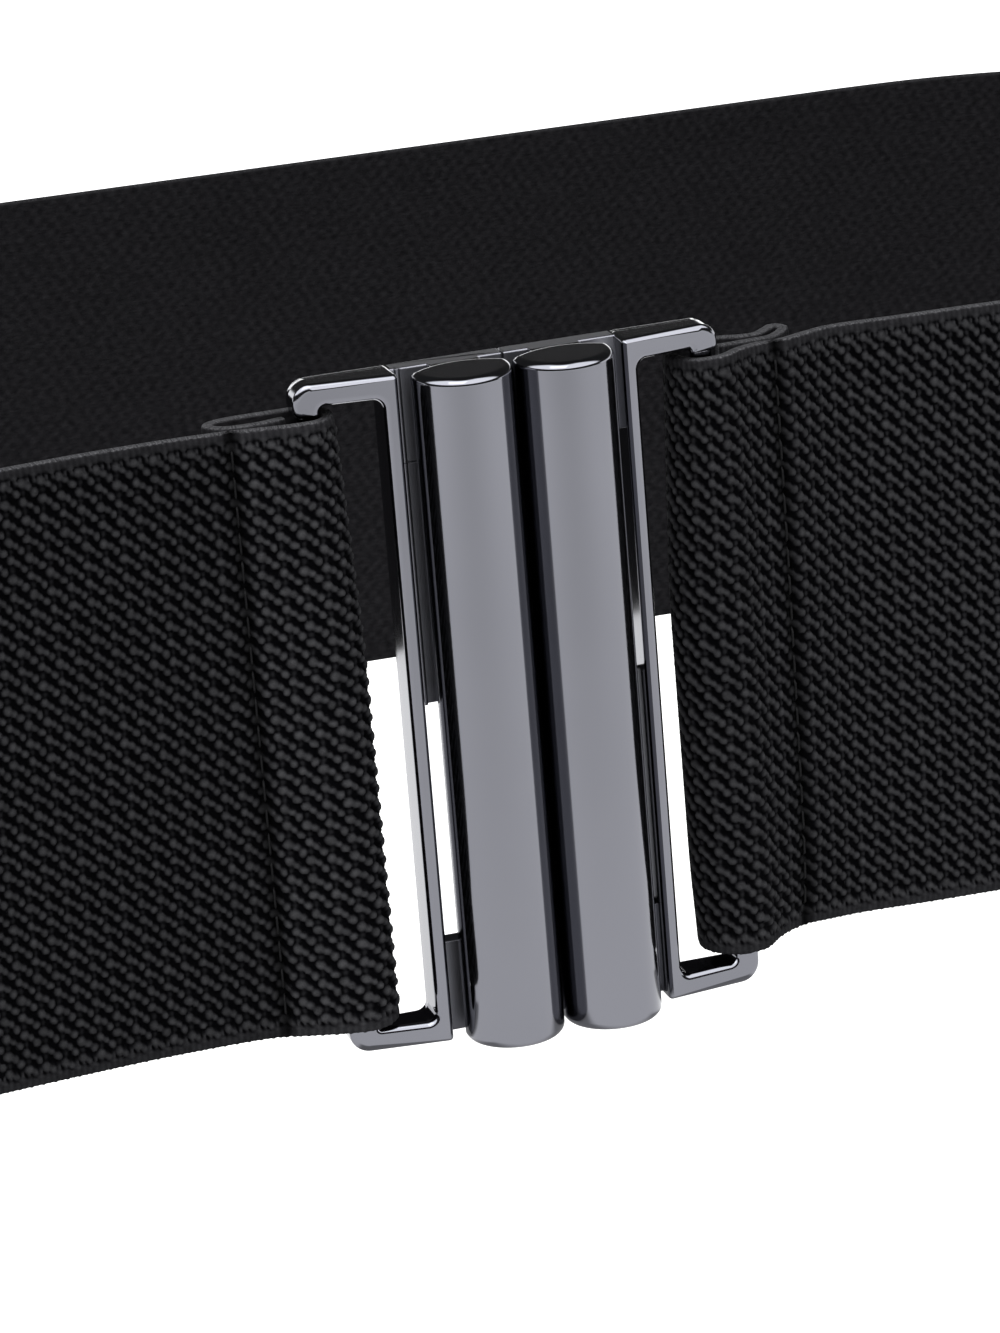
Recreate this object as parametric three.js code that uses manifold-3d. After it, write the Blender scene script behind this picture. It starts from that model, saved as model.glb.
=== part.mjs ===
// An elastic stretch belt, fastened into its loop and standing on its edge.
// One strip of wide elastic webbing is folded round a strap bar at each end and hemmed.
// Two alike cast buckle halves hook into each other at the front.
// Millimetres, +Z up. The front of the buckle faces -Y. Left and right are as seen from the front.

import * as THREE from "three";
import { mergeVertices } from "three/addons/utils/BufferGeometryUtils.js";
import Module from "manifold-3d";

const wasm = await Module();
wasm.setup();

// The gaps between the two halves of the buckle
const pair_gap = 0.3;
const hook_gap = 0.3;

// The half-round column on the front of each half
const column_radius = 4.8;
const column_crown = 9.75;
const column_back = 2.35;
const column_bulge = 2;
const column_facets = 40;

// The flat web behind each column, with its opening for the other half's hook
const web_depth = 2;
const web_height = 9.3;
const web_drop = 0.5;
const neck_width = 5;

// The hook tab that reaches behind the other half's column
const hook_depth = 1.5;
const hook_back = 0.25;
const lip_width = 0.6;
const lip_reach = 3.9;

// The frame that the webbing is folded round
const side_gap = 1.2;
const inner_bar_width = 1.5;
const arm_reach = 8.4;
const arm_height = 2.25;
const frame_depth = 4.75;
const frame_end_depth = 3.15;
const corner_radius = 1.3;
const window_radius = 1;
const edge_chamfer = 0.35;
const knuckle_width = 2.75;
const knuckle_drop = 0.75;
const knuckle_back = 1.1;
const strap_bar_width = 2;
const strap_bar_depth = 1.4;
const corner_facets = 6;

// The webbing, and the gap between its edges and the knuckles above and below it
const band_width = 60;
const band_thickness = 1.3;
const band_gap = 0.3;
const left_hem = 9;
const right_hem = 10.2;

// The room inside each fold, behind, before and beside the strap bar that it goes round.
// A fold's nose is pinched towards the bar, its front bulges at the foot,
// and the foot of the right hem dips back at its seam, over a share of the hem's reach.
const left_rear_room = 2;
const left_front_room = 1.1;
const left_nose_room = 1.5;
const left_pinch = 1;
const left_bulge = 1.7;
const right_rear_room = 3.9;
const right_front_room = 0.3;
const right_nose_room = 1.95;
const right_pinch = 1.2;
const right_bulge = 0.4;
const right_dip = 2.2;
const dip_seam = 0.8;
const dip_spread = 0.6;
const fold_facets = 12;
const hem_steps = 2;

// The loop in plan: two round ends joined by nearly straight runs
const loop_half_length = 76;
const left_end_radius = 61.5;
const right_end_radius = 57.6;
const left_front = 5.4;
const right_front = 2.2;
const run_step = 8;
const sag_length = 110;

// Each row is a point of the webbing's middle line near an end, from the tucked end outwards.
// out is the distance from the strap bar's axis as a share of the hem's reach.
// back is the place behind the fold's rear layer as a share of the fold's depth.
const left_hem_rows = [
  { out: 0.22, back: -0.49 },
  { out: 0.52, back: -0.58 },
  { out: 0.82, back: -0.55 },
  { out: 0.95, back: -0.42 },
  { out: 1, back: -0.27 },
  { out: 0.95, back: -0.12 },
  { out: 0.81, back: -0.03 },
  { out: 0.6, back: 0 },
  { out: 0.4, back: 0 },
  { out: 0.2, back: 0 },
];
const left_front_rows = [
  { out: 0.26, back: -0.99 },
  { out: 0.5, back: -0.93 },
  { out: 0.75, back: -0.86 },
  { out: 1, back: -0.81 },
  { out: 1.4, back: -0.77 },
  { out: 2.2, back: -0.79 },
];
const right_hem_rows = [
  { out: 0.24, back: -0.435 },
  { out: 0.42, back: -0.42 },
  { out: 0.61, back: -0.4 },
  { out: 0.77, back: -0.38 },
  { out: 0.91, back: -0.21 },
  { out: 1, back: 0.02 },
  { out: 0.94, back: 0.18 },
  { out: 0.82, back: 0.04 },
  { out: 0.7, back: -0.11 },
  { out: 0.55, back: -0.12 },
  { out: 0.37, back: -0.02 },
  { out: 0.2, back: 0 },
];
const right_front_rows = [
  { out: 0.17, back: -0.97 },
  { out: 0.38, back: -0.75 },
  { out: 0.58, back: -0.64 },
  { out: 0.8, back: -0.64 },
  { out: 1, back: -0.53 },
  { out: 1.34, back: -0.34 },
  { out: 2.04, back: -0.38 },
  { out: 3.03, back: -0.45 },
];

// Rows of the webbing over its width: how far up they are,
// and their shares of each fold's pinch, of its bulge and of the right hem's dip.
const width_rows = [
  { up: 0, left_pinch: 0, right_pinch: 0.4, bulge: 1, dip: 1 },
  { up: 0.12, left_pinch: 0, right_pinch: 0.1, bulge: 0.8, dip: 0.35 },
  { up: 0.6, left_pinch: 0, right_pinch: 0, bulge: 0.2, dip: 0 },
  { up: 1, left_pinch: 1, right_pinch: 1, bulge: 0, dip: 0 },
];

const left_strap_end = {
  hem_rows: left_hem_rows,
  front_rows: left_front_rows,
  hem: left_hem,
  rear_room: left_rear_room,
  front_room: left_front_room,
  nose_room: left_nose_room,
};
const right_strap_end = {
  hem_rows: right_hem_rows,
  front_rows: right_front_rows,
  hem: right_hem,
  rear_room: right_rear_room,
  front_room: right_front_room,
  nose_room: right_nose_room,
};

// Places that follow from the sizes
const band_rise = band_gap + knuckle_drop + arm_height;
const buckle_height = band_width + 2 * band_rise;
const column_axis = pair_gap / 2 + column_radius;
const column_side = pair_gap / 2 + 2 * column_radius;
const inner_bar_inside = column_side + side_gap;
const inner_bar_outside = inner_bar_inside + inner_bar_width;
const outer_end = inner_bar_outside + arm_reach;
const strap_bar_axis = outer_end - knuckle_width / 2;
const window_outside = outer_end - knuckle_width;
const middle = buckle_height / 2;

// A closed solid from a geometry of three.js.
function solid(geometry) {
  const bare = geometry.clone();
  bare.deleteAttribute("normal");
  bare.deleteAttribute("uv");
  const merged = mergeVertices(bare, 1e-4);
  const vertProperties = new Float32Array(merged.attributes.position.array);
  const triVerts = new Uint32Array(merged.index.array);
  return new wasm.Manifold(new wasm.Mesh({ numProp: 3, vertProperties, triVerts }));
}

// A geometry of three.js from a closed solid.
function geometryOf(body) {
  const mesh = body.getMesh();
  const places = new Float32Array(mesh.numVert * 3);
  for (let i = 0; i < mesh.numVert; i++) {
    const start = i * mesh.numProp;
    places.set(mesh.vertProperties.subarray(start, start + 3), i * 3);
  }
  const geometry = new THREE.BufferGeometry();
  geometry.setAttribute("position", new THREE.BufferAttribute(places, 3));
  geometry.setIndex(new THREE.BufferAttribute(new Uint32Array(mesh.triVerts), 1));
  return geometry;
}

// A plan outline (x, y) carried up from one height to another.
function upright(outline, bottom, top, curveSegments) {
  const settings = { depth: top - bottom, bevelEnabled: false, curveSegments };
  return solid(new THREE.ExtrudeGeometry(outline, settings).translate(0, 0, bottom));
}

// A front outline (x, z) carried back from one depth to another, as y.
function throughDepth(outline, front, back, curveSegments) {
  const settings = { depth: back - front, bevelEnabled: false, curveSegments };
  const geometry = new THREE.ExtrudeGeometry(outline, settings);
  return solid(geometry.rotateX(Math.PI / 2).translate(0, back, 0));
}

// A rectangle with round corners.
function roundedRectangle(left, right, low, high, radius) {
  const shape = new THREE.Shape();
  shape.moveTo(left + radius, low);
  shape.lineTo(right - radius, low);
  shape.absarc(right - radius, low + radius, radius, -Math.PI / 2, 0);
  shape.lineTo(right, high - radius);
  shape.absarc(right - radius, high - radius, radius, 0, Math.PI / 2);
  shape.lineTo(left + radius, high);
  shape.absarc(left + radius, high - radius, radius, Math.PI / 2, Math.PI);
  shape.lineTo(left, low + radius);
  shape.absarc(left + radius, low + radius, radius, Math.PI, 1.5 * Math.PI);
  return shape;
}

function polygon(points) {
  return new THREE.Shape(points.map(([x, y]) => new THREE.Vector2(x, y)));
}

function box(left, right, front, back, bottom, top) {
  const size = [right - left, back - front, top - bottom];
  const geometry = new THREE.BoxGeometry(...size);
  return solid(geometry.translate((left + right) / 2, (front + back) / 2, (bottom + top) / 2));
}

// The column: round in front and slightly bowed behind.
function column() {
  const axis_y = column_radius - column_crown;
  const shoulder_y = -column_back - column_bulge;
  const bow_radius = (column_radius ** 2 + column_bulge ** 2) / (2 * column_bulge);
  const bow_angle = Math.asin(column_radius / bow_radius);
  const shape = new THREE.Shape();
  shape.moveTo(-column_axis - column_radius, shoulder_y);
  shape.lineTo(-column_axis - column_radius, axis_y);
  shape.absarc(-column_axis, axis_y, column_radius, Math.PI, 2 * Math.PI);
  shape.lineTo(-column_axis + column_radius, shoulder_y);
  const bow_axis_y = -column_back - bow_radius;
  shape.absarc(-column_axis, bow_axis_y, bow_radius, Math.PI / 2 - bow_angle, Math.PI / 2 + bow_angle);
  return upright(shape, 0, buckle_height, column_facets);
}

// One end of the web, with the neck that joins it to the column.
function webEnd(bottom, top) {
  const left = -inner_bar_inside - inner_bar_width / 2;
  const plate = box(left, -pair_gap / 2, -web_depth, 0, bottom, top);
  return plate.add(neck(-web_depth / 2, bottom, top));
}

function neck(back, bottom, top) {
  const front = -column_back - column_bulge / 2;
  return box(-column_axis - neck_width / 2, -column_axis + neck_width / 2, front, back, bottom, top);
}

// The hook: a tab of just under half the opening's height, with a lip turned forward at its end.
function hook() {
  const bottom = web_height + hook_gap;
  const top = middle - hook_gap;
  const front = -hook_back - hook_depth;
  const root = -column_axis - neck_width / 2;
  const end = inner_bar_inside - hook_gap;
  const tab = box(root, end, front, -hook_back, bottom, top);
  const lip = box(end - lip_width, end, -lip_reach, -hook_back - hook_depth / 2, bottom, top);
  return tab.add(lip).add(neck(-hook_back - hook_depth / 2, bottom, top));
}

// The frame: two arms, the inner bar and the knuckles, thinner towards the outer end.
function strapFrame() {
  const wedge = polygon([
    [-outer_end, 0],
    [-outer_end, -frame_end_depth + edge_chamfer],
    [-outer_end + edge_chamfer, -frame_end_depth],
    [-inner_bar_inside - edge_chamfer, -frame_depth],
    [-inner_bar_inside, -frame_depth + edge_chamfer],
    [-inner_bar_inside, 0],
  ]);
  const outline = roundedRectangle(-outer_end, -inner_bar_inside, 0, buckle_height, corner_radius);
  const window_top = buckle_height - arm_height;
  const opening = roundedRectangle(
    -outer_end - window_radius,
    -inner_bar_outside,
    arm_height,
    window_top,
    window_radius,
  );
  const body = throughDepth(outline, -frame_depth, 0, corner_facets);
  const cut = throughDepth(opening, -frame_depth - 1, 1, corner_facets);
  return upright(wedge, 0, buckle_height, 1).intersect(body).subtract(cut);
}

// The bar inside the fold of the webbing, with a knuckle at each end.
function strapBar() {
  const knuckle = roundedRectangle(
    -outer_end,
    -window_outside,
    -frame_end_depth,
    -knuckle_back,
    knuckle_back / 2,
  );
  const bar_front = -knuckle_back - strap_bar_depth;
  const bar = roundedRectangle(
    -strap_bar_axis - strap_bar_width / 2,
    -strap_bar_axis + strap_bar_width / 2,
    bar_front,
    -knuckle_back,
    strap_bar_depth / 2.2,
  );
  const seat = arm_height / 2;
  const knuckle_end = arm_height + knuckle_drop;
  return upright(bar, seat, buckle_height - seat, corner_facets)
    .add(upright(knuckle, seat, knuckle_end, corner_facets))
    .add(upright(knuckle, buckle_height - knuckle_end, buckle_height - seat, corner_facets));
}

function buckleHalf() {
  const pieces = [
    column(),
    webEnd(web_drop, web_height),
    webEnd(buckle_height - web_height, buckle_height - web_drop),
    hook(),
    strapFrame(),
    strapBar(),
  ];
  return geometryOf(pieces.reduce((whole, piece) => whole.add(piece)));
}

// The webbing's middle line near one end, in plan, as seen from the buckle's centre line:
// the hem, the fold round the strap bar, and the start of the front run.
// The bulge is full in front of the bar and fades out at the hem's end.
function endRoute(end, pinch, bulge, dip) {
  const fold = end.rear_room + strap_bar_depth + end.front_room + band_thickness;
  const rear = end.rear_room - knuckle_back + band_thickness / 2;
  const nose = strap_bar_width / 2 + end.nose_room + band_thickness / 2 - pinch;
  const at = (row) => {
    const drawn_back = dip * Math.max(0, 1 - Math.abs(row.out - dip_seam) / dip_spread);
    return [strap_bar_axis + row.out * end.hem, rear + row.back * fold + drawn_back];
  };
  const turn = [];
  for (let i = 0; i <= fold_facets; i++) {
    const angle = (Math.PI * i) / fold_facets;
    const back = rear - ((fold + bulge) / 2) * (1 - Math.cos(angle));
    turn.push([strap_bar_axis - nose * Math.sin(angle), back]);
  }
  const front = end.front_rows.map((row) => {
    const [x, y] = at(row);
    return [x, y - bulge * Math.max(0, 1 - row.out)];
  });
  return [...end.hem_rows.map(at), ...turn, ...front];
}

// Points along the loop's two round ends and the run across the back.
function loopRoute() {
  const left_centre = [-loop_half_length, left_end_radius - left_front];
  const right_centre = [loop_half_length, right_end_radius - right_front];
  const across = right_centre[0] - left_centre[0];
  const depth = right_centre[1] - left_centre[1];
  const lean = Math.atan2(depth, across);
  const taper = Math.asin((left_end_radius - right_end_radius) / Math.hypot(across, depth));
  const back_angle = Math.PI / 2 + lean - taper;
  const left = arc(left_centre, left_end_radius, 1.5 * Math.PI, back_angle);
  const right = arc(right_centre, right_end_radius, back_angle, -0.5 * Math.PI);
  return [...left, ...line(left[left.length - 1], right[0]), ...right];
}

function arc(centre, radius, from, to) {
  const count = Math.ceil((Math.abs(to - from) * radius) / run_step);
  const points = [];
  for (let i = 0; i <= count; i++) {
    const angle = from + ((to - from) * i) / count;
    points.push([centre[0] + radius * Math.cos(angle), centre[1] + radius * Math.sin(angle)]);
  }
  return points;
}

// The points between two places, without the two ends themselves.
function line(from, to) {
  const count = Math.ceil(Math.hypot(to[0] - from[0], to[1] - from[1]) / run_step);
  const points = [];
  for (let i = 1; i < count; i++) {
    const share = i / count;
    points.push([from[0] + (to[0] - from[0]) * share, from[1] + (to[1] - from[1]) * share]);
  }
  return points;
}

// The whole middle line of one width row, as evenly smoothed plan points.
function middleLine(row) {
  const left = endRoute(left_strap_end, row.left_pinch * left_pinch, row.bulge * left_bulge, 0);
  const right = endRoute(
    right_strap_end,
    row.right_pinch * right_pinch,
    row.bulge * right_bulge,
    row.dip * right_dip,
  );
  const left_end = left.map(([x, y]) => [-x, y]);
  const right_end = right.reverse();
  const loop = loopRoute();
  const route = [
    ...left_end,
    ...line(left_end[left_end.length - 1], loop[0]),
    ...loop,
    ...line(loop[loop.length - 1], right_end[0]),
    ...right_end,
  ];
  const points = route.map(([x, y]) => new THREE.Vector3(x, y, 0));
  const curve = new THREE.CatmullRomCurve3(points, false, "centripetal");
  return smoothed(curve, points);
}

// Samples of the curve: short spans, those of the folds and hems, take extra steps.
function smoothed(curve, points) {
  const samples = [];
  for (let i = 0; i < points.length - 1; i++) {
    const span = points[i].distanceTo(points[i + 1]);
    const steps = span < run_step / 2 ? hem_steps : 1;
    for (let k = 0; k < steps; k++) {
      samples.push(curve.getPoint((i + k / steps) / (points.length - 1)));
    }
  }
  samples.push(points[points.length - 1]);
  return samples;
}

// How high the webbing's lower edge lies: held up at the buckle as far as each front run,
// then down on the surface round the back.
function sag(travelled, total) {
  const from_left = travelled - routeLength(endRoute(left_strap_end, 0, 0, 0));
  const from_right = total - travelled - routeLength(endRoute(right_strap_end, 0, 0, 0));
  return band_rise * (1 - THREE.MathUtils.smoothstep(Math.min(from_left, from_right), 0, sag_length));
}

function routeLength(points) {
  let length = 0;
  for (let i = 1; i < points.length; i++) {
    length += Math.hypot(points[i][0] - points[i - 1][0], points[i][1] - points[i - 1][1]);
  }
  return length;
}

// The strip as one closed solid: each section holds its rows on the outer and inner face.
function band() {
  const lines = width_rows.map(middleLine);
  const count = lines[0].length;
  const rows = width_rows.length;
  const ring = 2 * rows;
  const lengths = [0];
  for (let i = 1; i < count; i++) {
    lengths.push(lengths[i - 1] + lines[0][i].distanceTo(lines[0][i - 1]));
  }
  const places = [];
  for (let i = 0; i < count; i++) {
    const low = sag(lengths[i], lengths[count - 1]);
    const faces = { outer: [], inner: [] };
    for (let r = 0; r < rows; r++) {
      const here = lines[r][i];
      const before = lines[r][Math.max(i - 1, 0)];
      const after = lines[r][Math.min(i + 1, count - 1)];
      const along = after.clone().sub(before).normalize();
      const side = new THREE.Vector3(along.y, -along.x, 0).multiplyScalar(band_thickness / 2);
      const height = low + width_rows[r].up * band_width;
      faces.outer.push([here.x - side.x, here.y - side.y, height]);
      faces.inner.push([here.x + side.x, here.y + side.y, height]);
    }
    places.push(...faces.outer, ...faces.inner.reverse());
  }
  const triangles = [];
  for (let i = 0; i < count - 1; i++) {
    for (let r = 0; r < ring; r++) {
      const a = i * ring + r;
      const b = i * ring + ((r + 1) % ring);
      triangles.push(a, b, a + ring, b, b + ring, a + ring);
    }
  }
  const last = (count - 1) * ring;
  for (let r = 0; r < rows - 1; r++) {
    const pair = ring - 1 - r;
    triangles.push(r, pair, r + 1, r + 1, pair, pair - 1);
    triangles.push(last + r, last + r + 1, last + pair, last + r + 1, last + pair - 1, last + pair);
  }
  const geometry = new THREE.BufferGeometry();
  geometry.setAttribute("position", new THREE.Float32BufferAttribute(places.flat(), 3));
  geometry.setIndex(triangles);
  return geometry;
}

const gunmetal = { color: 0x6f6f78, roughness: 0.18, metalness: 1 };
const half_geometry = buckleHalf();

const right_buckle_half = new THREE.Mesh(half_geometry, new THREE.MeshStandardMaterial(gunmetal));
right_buckle_half.name = "right_buckle_half";
right_buckle_half.rotation.y = Math.PI;
right_buckle_half.position.z = buckle_height;

const left_buckle_half = new THREE.Mesh(half_geometry, new THREE.MeshStandardMaterial(gunmetal));
left_buckle_half.name = "left_buckle_half";

const webbing = { color: 0x17171a, roughness: 0.9, metalness: 0 };
const elastic_band = new THREE.Mesh(band(), new THREE.MeshStandardMaterial(webbing));
elastic_band.name = "elastic_band";

// The origin is under the middle of the whole belt, on the surface that it stands on.
const belt = new THREE.Group();
belt.add(elastic_band, left_buckle_half, right_buckle_half);
const bounds = new THREE.Box3().setFromObject(belt);
const centre = bounds.getCenter(new THREE.Vector3());
belt.position.set(-centre.x, -centre.y, -bounds.min.z);

export default belt;
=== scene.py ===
# An elastic stretch belt with an interlocking clasp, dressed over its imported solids.
# All sizes are in millimetres until a mesh is made, and then in metres.

import math

import bmesh
import bpy
import numpy as np
from mathutils import Matrix, Vector


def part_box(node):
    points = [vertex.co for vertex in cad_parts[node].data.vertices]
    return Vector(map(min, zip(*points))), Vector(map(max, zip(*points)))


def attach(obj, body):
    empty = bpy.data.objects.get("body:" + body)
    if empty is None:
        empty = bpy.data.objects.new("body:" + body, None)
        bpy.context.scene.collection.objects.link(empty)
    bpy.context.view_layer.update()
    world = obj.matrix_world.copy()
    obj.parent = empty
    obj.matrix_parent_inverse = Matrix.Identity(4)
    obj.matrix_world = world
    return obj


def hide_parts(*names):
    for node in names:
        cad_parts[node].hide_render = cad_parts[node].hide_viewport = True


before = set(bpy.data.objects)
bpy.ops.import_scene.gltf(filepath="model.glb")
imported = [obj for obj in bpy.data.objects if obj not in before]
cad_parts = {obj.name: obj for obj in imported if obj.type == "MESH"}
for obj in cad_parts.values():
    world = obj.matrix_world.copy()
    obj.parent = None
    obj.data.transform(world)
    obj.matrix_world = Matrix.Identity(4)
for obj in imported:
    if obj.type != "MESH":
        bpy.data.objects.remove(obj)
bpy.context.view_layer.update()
MM = 0.001
QUARTER = math.pi / 2

# The buckle halves, as in the part's source
pair_gap = 0.3
hook_gap = 0.3
column_radius = 4.8
column_crown = 9.75
column_back = 2.35
column_bulge = 2.0
web_depth = 2.0
web_height = 9.3
neck_width = 5.0
hook_depth = 1.5
hook_back = 0.25
lip_width = 0.6
side_gap = 1.2
inner_bar_width = 1.5
arm_reach = 8.4
arm_height = 2.25
frame_depth = 4.75
frame_end_depth = 3.15
window_radius = 1.0
knuckle_width = 2.75
knuckle_drop = 0.75
knuckle_back = 1.1
strap_bar_width = 2.0
strap_bar_depth = 1.4

# Nearer to the photograph than in the part's source: the webs and hooks all but meet and reach
# the clasp's ends, the lips are shorter, and the arms' outer corners are rounder
web_drop = 0.1
web_meeting = 0.04
hook_meeting = 0.06
hook_rise = 0.04
lip_reach = 2.2
corner_radius = 1.9
bar_corner = 0.45

# The knuckles at the arms' ends: a long one above, and a short one below
long_knuckle = 1.15
knuckle_inset = 0.35
long_toe = 0.8
long_heel = 0.45
long_fillet = 0.65
short_knuckle = 0.5
short_toe = 0.6
short_heel = 0.22
short_fillet = 0.22

# Round edges of the column, and of the frame in front, at the knuckles' back and behind
column_edge = 0.8
front_edge = 0.72
layer_edge = 0.15
back_edge = 0.6
hidden_edge = 0.02
layer_overlap = 0.6
layer_inset = 0.004
bar_edge = 0.1

# How the blocks behind the columns are rounded: corner, edge, and the steps of each
plate_finish = (0.2, 0.2, 3, 3)
neck_finish = (0.1, 0.1, 2, 2)
lip_finish = (0.25, 0.06, 4, 3)

# The webbing, as in the part's source
band_width = 60.0
band_thickness = 1.3
band_gap = 0.3
left_hem = 9.0
right_hem = 10.2
left_rear_room = 2.0
left_front_room = 1.1
left_nose_room = 1.5
left_pinch = 1.0
left_bulge = 1.7
right_rear_room = 3.9
right_front_room = 0.3
right_nose_room = 1.95
right_pinch = 1.2
right_bulge = 0.4
right_dip = 2.2
dip_seam = 0.8
dip_spread = 0.6
fold_facets = 12
loop_half_length = 76.0
left_end_radius = 61.5
right_end_radius = 57.6
left_front = 5.4
right_front = 2.2
run_step = 8.0
sag_length = 110.0

# Rows of the webbing's middle line near each end: out is a share of the hem's reach from the
# strap bar's axis, and back a share of the fold's depth behind the fold's rear layer.
left_hem_rows = [
    # out, back
    (0.22, -0.49), (0.52, -0.58), (0.82, -0.55), (0.95, -0.42), (1.0, -0.27),
    (0.95, -0.12), (0.81, -0.03), (0.6, 0.0), (0.4, 0.0), (0.2, 0.0),
]
left_front_rows = [
    (0.26, -0.99), (0.5, -0.93), (0.75, -0.86), (1.0, -0.81), (1.4, -0.77), (2.2, -0.79),
]
right_hem_rows = [
    (0.24, -0.435), (0.42, -0.42), (0.61, -0.4), (0.77, -0.38), (0.91, -0.21), (1.0, 0.02),
    (0.94, 0.18), (0.82, 0.04), (0.7, -0.11), (0.55, -0.12), (0.37, -0.02), (0.2, 0.0),
]
right_front_rows = [
    (0.17, -0.97), (0.38, -0.75), (0.58, -0.64), (0.8, -0.64), (1.0, -0.53), (1.34, -0.34),
    (2.04, -0.38), (3.03, -0.45),
]

# Over the webbing's width: how far up, and the shares of pinch, bulge and dip there
width_up = [0.0, 0.12, 0.6, 1.0]
width_left_pinch = [0.0, 0.0, 0.0, 1.0]
width_right_pinch = [0.4, 0.1, 0.0, 1.0]
width_bulge = [1.0, 0.8, 0.2, 0.0]
width_dip = [1.0, 0.35, 0.0, 0.0]

# Each strap end's rows, its hem's reach, the room round its bar, and its pinch, bulge and dip
left_end = (
    left_hem_rows,
    left_front_rows,
    left_hem,
    (left_rear_room, left_front_room, left_nose_room),
    [(width_left_pinch, left_pinch), (width_bulge, left_bulge), (width_dip, 0.0)],
)
right_end = (
    right_hem_rows,
    right_front_rows,
    right_hem,
    (right_rear_room, right_front_room, right_nose_room),
    [(width_right_pinch, right_pinch), (width_bulge, right_bulge), (width_dip, right_dip)],
)

# Places that follow from the sizes
band_rise = band_gap + knuckle_drop + arm_height
buckle_height = band_width + 2 * band_rise
column_axis = pair_gap / 2 + column_radius
inner_bar_inside = pair_gap / 2 + 2 * column_radius + side_gap
inner_bar_outside = inner_bar_inside + inner_bar_width
outer_end = inner_bar_outside + arm_reach
strap_bar_axis = outer_end - knuckle_width / 2
window_outside = outer_end - knuckle_width
middle = buckle_height / 2

# The buckle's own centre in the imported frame
left_low, left_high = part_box("left_buckle_half")
buckle_x = left_low.x / MM + outer_end
buckle_y = left_high.y / MM

# The two seams, and how far from the folds they are looked for
left_seam_out = 0.84
right_seam_out = 0.75
seam_width = 0.66
seam_depth = 0.7
seam_reach = 40.0
seam_samples = 6000

# The weave of the outer face: ribs of three-lobed floats that fall to the right
repeat_along = 1.8
repeat_up = 1.77
lobes = [
    # along, up, half width, half height, how high it stands on the left and on the right
    (0.0, 0.0, 0.5, 0.53, 1.0, 0.98),
    (0.63, -0.41, 0.37, 0.4, 0.92, 0.92),
    (1.17, -0.99, 0.43, 0.47, 0.96, 0.94),
    (0.1, -0.92, 0.3, 0.42, 0.44, 0.52),
]
bones = [
    # middle along, middle up, half length, radius, height on the left, height on the right
    (0.31, -0.2, 0.3, 0.33, 0.78, 0.84),
    (0.9, -0.7, 0.34, 0.29, 0.56, 0.74),
    (1.48, -1.38, 0.3, 0.24, 0.2, 0.3),
]
relief_depth = 0.46
relief_middle = 0.8

# Waves by which the woven rows wander: how far, then radians for each millimetre along and up,
# and the start
wander_waves = [(0.05, 1.7, 0.9, 0.0), (0.05, -2.3, 1.9, 1.0)]
climb_waves = [(0.04, 1.1, -2.1, 2.0), (0.05, 2.6, 1.6, 0.0)]

# The selvedge: plain and a little wavy, with a row of teeth where the twill begins
selvedge = 0.95
selvedge_blend = 0.3
plain_height = 0.6
plain_wave = 0.08
tooth_pitch = repeat_along / 3
tooth_height = 0.86
tooth_inset = 0.45
tooth_spread = 0.42

# How long one repeat is along each stretch of the strip, which pulls it more or less
hem_repeat = 1.97
left_repeat = 1.8
right_repeat = 1.71
hem_repeat_blend = 4.0

# How much paler the outer face is drawn on the left fold, on the left run and on the right
fold_paleness = 1.45
left_paleness = 1.09
right_paleness = 1.28
seam_blend = 1.0
far_side_blend = 60.0


# Camera

# The view solved from the photograph's buckle edges, round the buckle's middle
photo_height = 1333
focal_pixels = 5642.7
camera_distance = 540.0
camera_elevation = math.radians(17.964)
camera_azimuth = math.radians(-15.659)
camera_roll = math.radians(-4.66)
camera_right = -2.081
camera_up = 1.673


def placed(name, data):
    """A new object in the scene."""
    piece = bpy.data.objects.new(name, data)
    bpy.context.scene.collection.objects.link(piece)
    return piece


def make_camera():
    level = math.cos(camera_elevation)
    towards_x = math.sin(camera_azimuth) * level
    towards_y = -math.cos(camera_azimuth) * level
    backwards = Vector((towards_x, towards_y, math.sin(camera_elevation)))
    right = (-backwards).cross(Vector((0, 0, 1))).normalized()
    up = right.cross(-backwards)
    rolled_right = math.cos(camera_roll) * right + math.sin(camera_roll) * up
    rolled_up = math.cos(camera_roll) * up - math.sin(camera_roll) * right
    place = Vector((buckle_x, buckle_y, middle))
    place = place + camera_distance * backwards + camera_right * right + camera_up * up
    data = bpy.data.cameras.new("camera")
    data.sensor_width = 36
    data.lens = focal_pixels / photo_height * data.sensor_width
    data.clip_start = 0.01
    data.clip_end = 20
    camera = placed("camera", data)
    axes = Matrix((rolled_right, rolled_up, backwards)).transposed().to_4x4()
    camera.matrix_world = Matrix.Translation(place * MM) @ axes
    bpy.context.scene.camera = camera


# The webbing's middle line


def smooth_step(value, low, high):
    share = np.clip((value - low) / (high - low), 0, 1)
    return share * share * (3 - 2 * share)


def width_share(values, up):
    """A row of shares over the webbing's width, read smoothly at the heights in up."""
    samples = 201
    blur = 41
    fine = np.linspace(0, 1, samples)
    window = np.hanning(blur)
    padded = np.pad(np.interp(fine, width_up, values), blur // 2, mode="edge")
    smooth = np.convolve(padded, window / window.sum(), mode="valid")
    return np.interp(up, fine, smooth)


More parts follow.
